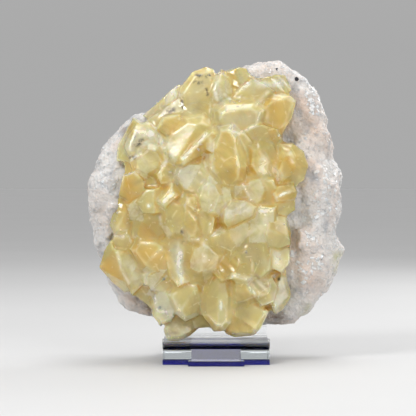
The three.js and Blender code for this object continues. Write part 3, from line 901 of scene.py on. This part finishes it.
@dataclass
class CalciteCluster:
    """The yellow crystals on the front of the plate.

    Attributes:
        skin: the size of the faces that cover it.
        rounds: how much its edges are rounded.
        chips: how many places are tried for small sharp crystals on the large ones.
        chip_half: half the size of the smallest and of the largest small crystal.
        stray: the share of places outside the sparkling patches that have a chip.
        swell: how far the faces swell and sink.
        swell_waves: how many swellings there are to a metre.
        edge_rounds: how far around a point its surroundings count in finding the edges.
        edge_height: how far the sharpest edges stand out of their surroundings.
        edge_start: the share of that height at which an edge starts.
        shade_reach: how near something has to be to shade a face.
        shade_rays: how many directions are tried for that.
        chip_lean: the most that a chip leans, in radians.
        chip_sunk: the share of a chip's half-size that lies inside the large crystal.
        seed: what its chances start from.
    """

    skin: float = 0.78 * MM
    rounds: int = 2
    chips: int = 3200
    chip_half: Spot = (0.45 * MM, 1.7 * MM)
    stray: float = 0.06
    swell: float = 0.6 * MM
    swell_waves: float = 75
    edge_rounds: int = 6
    edge_height: float = 0.16 * MM
    edge_start: float = 0.15
    shade_reach: float = 22 * MM
    shade_rays: int = 12
    chip_lean: float = 0.7
    chip_sunk: float = 0.45
    seed: int = 11

    MARKS = (
        *marks(
            Trait.CLEAR,
            (((-41, 148), (-24, 160)), 11),
            (((-50, 131), (-38, 131)), 13),
            (((-34, 42), (-28, 32)), 11),
            (((-26, 21), (-15, 20)), 10),
            (((2, 166), (3, 156)), 8),
            (((-7, 168), (-14, 152)), 11, 0.6),
            (((25, 165), (40, 166)), 10),
            (((-22, 112), (-6, 108)), 11, 0.8),
            (((40, 48), (37, 34)), 9),
            (((-23, 70), (-21, 54)), 7),
            (((4, 144), (22, 144)), 9, 0.7),
            (((-51, 60), (-47, 50)), 8, 0.7),
            (((8, 89), (18, 92)), 8, 0.8),
            (((15, 169), (17, 164)), 5, 0.7),
            (((23, 50), (27, 47)), 8, 0.8),
            (((20, 66), (28, 60)), 9, 0.6),
        ),
        *marks(
            Trait.AMBER,
            (((33, 152), (38, 142)), 14),
            (((43, 118),), 15),
            (((-14, 62), (0, 60)), 12),
            (((-44, 66), (-34, 62)), 12),
            (((-52, 106), (-52, 98)), 9),
            (((-39, 80),), 10),
            (((32, 98), (42, 100)), 10, 0.7),
            (((36, 80),), 10, 0.6),
            (((-22, 134), (-12, 128)), 12, 0.7),
            (((-64, 58), (-58, 46)), 8),
            (((10, 77),), 10, 0.6),
            (((-30, 105),), 6),
            (((-51, 143), (-50, 136)), 3, 0.8),
            (((14, 112), (20, 96)), 8, 0.7),
        ),
        # White flaws, cracks and edges, and at several spots a painted highlight where a face reflects a
        # lamp.
        *marks(
            Trait.FROST_AND_HIGHLIGHT,
            (((-5.6, 135.5), (-19, 121)), 2.4),
            # Painted highlight on the top face of a clear crystal.
            (((-46, 138), (-38, 135.5)), 4.5),
            (((-49.5, 120.5), (-44, 124)), 2),
            (((-30, 96.3), (-25, 100.5)), 2.2),
            (((-60, 75.5), (-55, 75)), 2.4),
            (((-20.5, 66), (-21.8, 58), (-19.5, 49)), 3),
            (((-6.5, 72), (-6.5, 62)), 4, 0.6),
            # Painted highlight on the flank of a rounded crystal.
            (((28, 121), (27.5, 115)), 5, 0.7),
            # Painted reflection on a small white face.
            (((38, 99.5), (43, 102)), 2.2),
            (((26, 165), (39.5, 166)), 4, 0.7),
            (((31, 160.5), (23.5, 152.5)), 2.4, 0.7),
            (((20, 165), (12.5, 160)), 2, 0.6),
            (((10.5, 53), (20, 50.5)), 2.6, 0.8),
            (((36, 65), (37, 60)), 5, 0.5),
            (((-34, 135), (-31, 131), (-29.5, 126), (-29, 120), (-31, 116)), 2.2, 0.7),
            (((-58, 66), (-55.5, 56), (-51, 48)), 2, 0.7),
            (((-50, 57), (-46, 50)), 9, 0.35),
            # Painted highlight on a bright face.
            (((-4, 103), (-5, 94)), 7, 0.35),
            (((8, 90), (18, 92)), 8, 0.7),
            (((-45, 120), (-38, 118)), 7, 0.35),
            (((-50, 128), (-42, 132)), 8, 0.4),
            (((26, 148), (24, 141), (14, 136), (7, 138)), 1.8, 0.7),
            (((44, 124), (45.5, 119)), 2.6, 0.6),
            (((34, 116), (37, 109)), 3.2, 0.5),
            (((16, 106), (21, 97)), 1.8, 0.7),
            (((-32.5, 87), (-32, 83)), 1.8, 0.8),
            (((-3, 83), (-3, 78)), 1.8, 0.8),
            (((-15, 74), (-10, 74)), 1.8, 0.7),
            (((-41, 54), (-41, 47)), 3.4, 0.6),
            (((-39, 93.5),), 2.6),
            (((20, 46), (23, 42)), 2, 0.7),
            (((0, 160), (1, 156)), 1.8, 0.7),
            (((5.5, 159), (8, 156.5)), 1.8, 0.7),
            (((-3, 133), (-3, 127)), 2.8, 0.5),
            (((-25, 163), (-25, 154)), 4, 0.8),
            (((-36, 40), (-34, 31), (-26, 31)), 2.2, 0.7),
            (((26, 90.5), (33, 90.5)), 2),
            # Painted highlight on a small crystal.
            (((29, 88), (29, 83)), 4, 0.6),
            # Painted highlight on a tall crystal.
            (((3, 38), (3.2, 33)), 1.8, 0.9),
        ),
        *marks(
            Trait.SPARKLE,
            (((36, 66), (37, 60)), 8),
            (((-35, 36), (-28, 29)), 8),
            (((-30, 116), (-28, 128)), 5),
            (((20, 66), (26, 58)), 7),
            (((-15, 92), (-4, 93)), 6),
            (((-25, 70), (-22, 62)), 5),
            (((5, 158), (14, 154)), 6),
            (((-58, 90), (-52, 88)), 5),
            (((-36, 47), (-30, 48)), 5),
        ),
        *marks(
            Trait.SPECK,
            (((-11, 170), (-9, 170)), 2.2),
            (((-5, 170), (-3.5, 170.5)), 2),
            (((-12, 166), (-8, 166)), 2, 0.8),
            (((-5.5, 162), (-4.8, 159)), 1.6),
            (((-20, 157), (-19, 151)), 1.6, 0.8),
            (((-47, 129), (-43, 131.5)), 2.6),
            (((-50, 121.5), (-47.5, 121.5)), 1.8),
            (((-30, 148), (-25, 150)), 3, 0.8),
            (((-28, 17.5), (-23, 18.5)), 3, 0.35),
            (((-19.5, 78.5),), 2.2, 0.9),
            (((-19, 72),), 2, 0.5),
            (((37.5, 50),), 1.6),
        ),
    )

    def build(self) -> bpy.types.Object:
        """The crystals' mesh.

        Returns:
            The object, with its traits noted.
        """
        made = merged_copy("calcite_cluster")
        faces = made.copy()
        piece = placed(made, "calcite_crystals")
        reskin(piece, self.skin, self.rounds)
        mesh = piece.data
        note(mesh, Trait.FACET, facet_shade(mesh, faces))
        faces.free()
        waves = [noise.noise(Vector(point) * self.swell_waves) for point in points_of(mesh)]
        push_out(mesh, self.swell * (np.array(waves) - 0.4))
        # How much sky each point sees, which the finish turns into painted shade.
        note(mesh, Trait.OPEN, openness(mesh, self.shade_reach, self.shade_rays, self.seed))
        note(mesh, Trait.EDGE, standing_out(mesh, self.edge_rounds) / self.edge_height - self.edge_start)
        note_marks(mesh, self.MARKS, (Trait.CLEAR, Trait.AMBER, Trait.FROST_AND_HIGHLIGHT, Trait.SPECK))
        return piece

    def build_chips(self, crystals: bpy.types.Object) -> bpy.types.Object:
        """The small sharp rhombs that grew on the large crystals, thickest in the sparkling patches.

        Args:
            crystals: the large crystals.

        Returns:
            One object with every chip, its traits noted.
        """
        pick = random.Random(self.seed)
        sparkling = [mark for mark in self.MARKS if mark.trait is Trait.SPARKLE]
        corner_up = Vector((1, 1, 1)).rotation_difference(Vector((0, 0, 1))).to_matrix().to_4x4()

        def fits(at: Vector, normal: Vector) -> bool:
            """Whether a place faces forward, in a sparkling patch or by chance outside one.

            Args:
                at: the place.
                normal: the direction that it faces.

            Returns:
                True where a chip grows.
            """
            spot = np.array([[at.x, at.z]]) / MM
            liking = max(mark.weight(spot)[0] for mark in sparkling)
            return normal.y < 0.1 and max(liking, self.stray) > pick.random()

        ground = bmesh.new()
        ground.from_mesh(crystals.data)
        places = scattered(ground, self.chips, pick, fits)
        ground.free()
        made = bmesh.new()
        for at, normal in places:
            half = pick.uniform(*self.chip_half) * pick.uniform(0.5, 1)
            form = Matrix.Diagonal((half, half * pick.uniform(0.6, 1), half * pick.uniform(0.5, 1), 1))
            turn = turned_to(normal, pick, self.chip_lean).to_matrix().to_4x4()
            sunk = Matrix.Translation(at - normal * half * self.chip_sunk)
            bmesh.ops.create_cube(made, size=1.4, matrix=sunk @ turn @ form @ corner_up)
        piece = placed(made, "calcite_chips")
        mesh = piece.data
        # Some chips are whitened: partly frosted small crystals, partly a painted glint.
        shine = np.repeat([pick.choice((0.0, 0.3, 0.8)) for _ in places], len(mesh.vertices) // len(places))
        note(mesh, Trait.OPEN, np.ones(len(mesh.vertices)))
        note(mesh, Trait.FROST_AND_HIGHLIGHT, shine)
        note_marks(mesh, self.MARKS, (Trait.CLEAR, Trait.AMBER))
        return piece

    def dress(self, crystals: bpy.types.Object, chips: bpy.types.Object) -> None:
        """Gives the crystals and their chips their finish.

        Args:
            crystals: the large crystals.
            chips: the small ones on them.
        """
        material = CalciteFinish().material()
        dress(crystals, material, Slot.CALCITE, "calcite_cluster")
        dress(chips, material, Slot.CALCITE)


@dataclass
class HeulanditePlate:
    """The white plate that the crystals grew on, with its crust of small tablets.

    Attributes:
        skin: the size of the faces that cover it.
        rounds: how much its edges are rounded.
        creases: how many knobs there are to a metre and how deep the creases between them are.
        tablets: how many places are tried for tablets.
        tablet_half: half the size of the smallest and of the largest tablet.
        bright_growth: how many times larger a tablet is in the sparkling patches.
        tablet_lean: the most that a tablet leans, in radians.
        tablet_sunk: the share of a tablet's half-size that lies inside the plate.
        clearance: how near the calcite a tablet may be.
        shade_reach: how near something has to be to shade the crust.
        shade_rays: how many directions are tried for that.
        seed: what its chances start from.
    """

    skin: float = 1.25 * MM
    rounds: int = 5
    creases: tuple[Spot, ...] = ((80, 2.2 * MM), (210, 1.0 * MM))
    tablets: int = 7500
    tablet_half: Spot = (0.35 * MM, 1.1 * MM)
    bright_growth: float = 1.5
    tablet_lean: float = 0.5
    tablet_sunk: float = 0.2
    clearance: float = 2.2 * MM
    shade_reach: float = 10 * MM
    shade_rays: int = 8
    seed: int = 23

    MARKS = (
        *marks(
            Trait.EARTH,
            (((-48, 41), (-42, 40)), 7, 0.9),
            (((-40, 31), (-34, 31)), 4, 0.8),
            (((32, 27), (38, 23)), 6),
            (((-58, 142), (-52, 134)), 3, 0.5),
        ),
        *marks(
            Trait.MOSS,
            (((73, 62), (74, 56)), 7, 0.8),
            (((55, 32), (52, 28)), 5, 0.6),
        ),
        *marks(
            Trait.BLUSH,
            (((56, 150), (60, 130)), 18, 0.9),
            (((52, 118), (56, 106)), 14, 0.8),
            (((54, 66), (60, 46)), 18),
            (((-70, 96), (-66, 84)), 12, 0.5),
            (((-48, 36), (-36, 30)), 12, 0.8),
            (((20, 176), (40, 174)), 10, 0.5),
        ),
        # Sparkle marks: where tablets grow larger and get a whiter, painted glint colour.
        *marks(
            Trait.SPARKLE,
            (((55, 161), (59, 150)), 7),
            (((50, 89), (61, 88)), 5),
            (((54, 75), (56, 72)), 5),
            (((47, 63), (48, 55)), 5),
            (((59, 61), (54, 50)), 6),
            (((-66, 112), (-62, 104)), 6, 0.6),
            (((66, 112), (70, 96)), 8, 0.5),
        ),
        *marks(
            Trait.SPECK,
            (((48.5, 168.5),), 2.4),
            (((16.5, 177.5), (18.5, 178)), 2.4),
            (((36.5, 174.5),), 1.4),
        ),
    )

    def build(self) -> bpy.types.Object:
        """The plate's mesh.

        Returns:
            The object, with its traits noted.
        """
        piece = placed(merged_copy("heulandite_matrix"), "heulandite_plate")
        reskin(piece, self.skin, self.rounds)
        mesh = piece.data
        for waves, depth in self.creases:
            push_out(mesh, -depth * self.crease(points_of(mesh) * waves))
        self.note_traits(mesh)
        return piece

    def crease(self, points: np.ndarray) -> np.ndarray:
        """How deep the creases between round knobs are.

        Args:
            points: places, in knobs.

        Returns:
            One value for each place, from 0 on top of a knob to 1.
        """
        nearest = [noise.voronoi(Vector(point))[0][0] for point in points]
        return np.clip(np.array(nearest) / 0.8, 0, 1) ** 2

    def note_traits(self, mesh: bpy.types.Mesh) -> None:
        """Keeps the plate's traits at each of a mesh's points."""
        # How much sky each point sees, which the finish turns into painted shade in the creases.
        note(mesh, Trait.OPEN, openness(mesh, self.shade_reach, self.shade_rays, self.seed))
        note_marks(mesh, self.MARKS, (Trait.EARTH, Trait.MOSS, Trait.BLUSH, Trait.SPECK))

    def build_tablets(self, plate: bpy.types.Object, crystals: bpy.types.Object) -> bpy.types.Object:
        """The crust of small tablets on the plate, clear of the calcite.

        Args:
            plate: the plate that they stand on.
            crystals: the calcite that they keep clear of.

        Returns:
            One object with every tablet, its traits noted.
        """
        pick = random.Random(self.seed)
        made = bmesh.new()
        made.from_mesh(crystals.data)
        calcite = BVHTree.FromBMesh(made)
        made.free()
        ground = bmesh.new()
        ground.from_mesh(plate.data)

        def fits(at: Vector, normal: Vector) -> bool:
            """Whether a tablet at this place is seen and clear of the calcite."""
            return normal.y < 0.6 and calcite.find_nearest(at, self.clearance)[0] is None

        places = scattered(ground, self.tablets, pick, fits)
        ground.free()
        crust = bmesh.new()
        shine: list[float] = []
        for at, normal in places:
            bright = self.sparkle(at) > pick.random()
            half = pick.uniform(*self.tablet_half) * (self.bright_growth if bright else pick.uniform(0.6, 1))
            form = Matrix.Diagonal((half, half * pick.uniform(0.5, 0.8), half * pick.uniform(0.25, 0.5), 1))
            turn = turned_to(normal, pick, self.tablet_lean).to_matrix().to_4x4()
            sunk = Matrix.Translation(at - normal * half * self.tablet_sunk)
            bmesh.ops.create_cube(crust, size=2, matrix=sunk @ turn @ form)
            # Bright tablets get a whiter colour, a painted glint.
            shine.append(pick.uniform(0.6, 1) if bright else pick.choice((0, 0, 0, 0.5)))
        piece = placed(crust, "heulandite_tablets")
        self.note_traits(piece.data)
        note(piece.data, Trait.FROST_AND_HIGHLIGHT, np.repeat(shine, len(piece.data.vertices) // len(places)))
        return piece

    def sparkle(self, at: Vector) -> float:
        """How likely a tablet at a place is large and bright.

        Args:
            at: the place.

        Returns:
            The chance, from 0 to 1.
        """
        spot = np.array([[at.x, at.z]]) / MM
        return max(mark.weight(spot)[0] for mark in self.MARKS if mark.trait is Trait.SPARKLE)

    def dress(self, plate: bpy.types.Object, tablets: bpy.types.Object) -> None:
        """Gives the plate and its tablets their finish.

        Args:
            plate: the plate.
            tablets: the tablets on it.
        """
        material = HeulanditeFinish().material()
        dress(plate, material, Slot.HEULANDITE, "heulandite_matrix")
        dress(tablets, material, Slot.HEULANDITE)


# The stand


@dataclass
class AcrylicStand:
    """The clear stand and its blue base.

    Attributes:
        edge: how wide the polished edges are.
        flat: the largest angle between faces that are one face, in radians.
        play: the share of each piece's height that is left as air where pieces rest on each other.
    """

    edge: float = 0.35 * MM
    flat: float = 0.02
    play: float = 0.01

    PIECES = {
        "stand_cradle": ("acrylic_cradle", Slot.CLEAR_ACRYLIC),
        "stand_left_foot": ("acrylic_left_foot", Slot.CLEAR_ACRYLIC),
        "stand_right_foot": ("acrylic_right_foot", Slot.CLEAR_ACRYLIC),
        "stand_base": ("acrylic_base", Slot.BLUE_ACRYLIC),
    }

    def build(self, node: str, name: str) -> bpy.types.Object:
        """One piece of the stand, with its edges eased.

        Args:
            node: the CAD node.
            name: the piece's name.

        Returns:
            The object.
        """
        made = merged_copy(node)
        middle = sum(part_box(node), Vector()) / 2
        bmesh.ops.scale(made, vec=(1, 1, 1 - self.play), space=Matrix.Translation(-middle), verts=made.verts)
        bmesh.ops.dissolve_limit(
            made, angle_limit=self.flat, use_dissolve_boundaries=False, verts=made.verts, edges=made.edges
        )
        sharp = [edge for edge in made.edges if edge.calc_face_angle(0) > math.radians(40)]
        bmesh.ops.bevel(
            made, geom=sharp, offset=self.edge, offset_type="OFFSET", segments=2, profile=0.5,
            affect="EDGES", material=-1, clamp_overlap=True,
        )
        return placed(made, name)

    def make(self) -> None:
        """Builds and dresses every piece of the stand."""
        finishes = {
            Slot.CLEAR_ACRYLIC: CLEAR_SHEET.material(),
            Slot.BLUE_ACRYLIC: BLUE_SHEET.material(),
        }
        for node, (name, slot) in self.PIECES.items():
            dress(self.build(node, name), finishes[slot], slot, node)


# The studio


@dataclass(frozen=True)
class SoftLight:
    """A large soft light.

    Attributes:
        name: the light's name.
        at: where it stands.
        size: its width and height.
        power: its power in watts.
        colour: its colour.
    """

    name: str
    at: tuple[float, float, float]
    size: Spot
    power: float
    colour: tuple[float, float, float] = (1, 1, 1)

    def build(self, target: Vector) -> None:
        """Puts the light up, aimed at a point.

        Args:
            target: the point.
        """
        lamp = bpy.data.lights.new(self.name, "AREA")
        lamp.shape = "RECTANGLE"
        lamp.size, lamp.size_y = self.size
        lamp.energy = self.power
        lamp.color = self.colour
        stand = bpy.data.objects.new(self.name, lamp)
        stand.location = self.at
        stand.rotation_euler = (target - stand.location).to_track_quat("-Z", "Y").to_euler()
        bpy.context.scene.collection.objects.link(stand)


@dataclass
class Studio:
    """The pale floor, the soft lights and the camera.

    Attributes:
        view_width: the width of the picture where the specimen stands.
        middle: x and z of the picture's middle.
        distance: how far off the camera stands.
        elevation: how far above the level it stands, in degrees.
        floor_size: the floor's half-width.
        horizon: how bright the surroundings are at the horizon.
        zenith: how bright they are overhead.
    """

    view_width: float = 249.6 * MM
    middle: Spot = (-4.4 * MM, 91.4 * MM)
    distance: float = 1.3
    elevation: float = 1.5
    floor_size: float = 6
    horizon: float = 0.405
    zenith: float = 0.66

    LIGHTS = (
        SoftLight("key", (-0.6, -0.8, 0.85), (0.34, 0.34), 6.8),
        SoftLight("glint", (0.3, -1.1, 0.6), (0.16, 0.16), 1.4),
        SoftLight("fill", (0.8, -0.8, 0.35), (0.4, 0.6), 2.4),
        SoftLight("top", (0.1, 0.1, 0.95), (0.5, 0.35), 3),
        SoftLight("rim", (0.6, 0.7, 0.5), (0.4, 0.5), 3),
    )

    def build(self) -> None:
        """Makes the floor, the light and the camera."""
        self.build_floor()
        self.build_world()
        target = Vector((self.middle[0], 0, self.middle[1]))
        for light in self.LIGHTS:
            light.build(target)
        self.build_camera(target)

    def build_floor(self) -> None:
        """Lays the pale floor under the stand."""
        made = bmesh.new()
        bmesh.ops.create_circle(made, cap_ends=True, segments=96, radius=self.floor_size)
        floor = placed(made, "floor")
        graph = Graph("floor")
        tone = graph.blend(graph.noise(scale=6, detail=2), (0.64, 0.64, 0.64, 1), (0.68, 0.68, 0.68, 1))
        floor.data.materials.append(graph.finish({"Base Color": tone, "Roughness": 0.6}))

    def build_world(self) -> None:
        """Surrounds the scene with even pale light."""
        world = bpy.data.worlds.new("studio")
        world.use_nodes = True
        tree = world.node_tree
        up = tree.nodes.new("ShaderNodeSeparateXYZ")
        tree.links.new(tree.nodes.new("ShaderNodeTexCoord").outputs["Generated"], up.inputs["Vector"])
        rise = tree.nodes.new("ShaderNodeMapRange")
        tree.links.new(up.outputs["Z"], rise.inputs["Value"])
        ranges = {"From Min": 0.05, "From Max": 0.9, "To Min": self.horizon, "To Max": self.zenith}
        for name, value in ranges.items():
            rise.inputs[name].default_value = value
        sky = tree.nodes["Background"]
        sky.inputs["Color"].default_value = (1, 1, 1, 1)
        tree.links.new(rise.outputs["Result"], sky.inputs["Strength"])
        bpy.context.scene.world = world
        bpy.context.scene.view_settings.view_transform = "Standard"

    def build_camera(self, target: Vector) -> None:
        """Stands the camera in front of the specimen.

        Args:
            target: the point in the picture's middle.
        """
        lens = bpy.data.cameras.new("camera")
        lens.lens = lens.sensor_width * self.distance / self.view_width
        lens.clip_end = 100
        camera = bpy.data.objects.new("camera", lens)
        lift = math.radians(self.elevation)
        camera.location = target + self.distance * Vector((0, -math.cos(lift), math.sin(lift)))
        camera.rotation_euler = (target - camera.location).to_track_quat("-Z", "Y").to_euler()
        bpy.context.scene.collection.objects.link(camera)
        bpy.context.scene.camera = camera


def main() -> None:
    """Builds the specimen, its stand and the studio, in order."""
    logging.basicConfig(level=logging.INFO, format="%(message)s")
    Studio().build()
    cluster = CalciteCluster()
    crystals = cluster.build()
    cluster.dress(crystals, cluster.build_chips(crystals))
    matrix = HeulanditePlate()
    plate = matrix.build()
    matrix.dress(plate, matrix.build_tablets(plate, crystals))
    AcrylicStand().make()


if __name__ == "__main__":
    main()
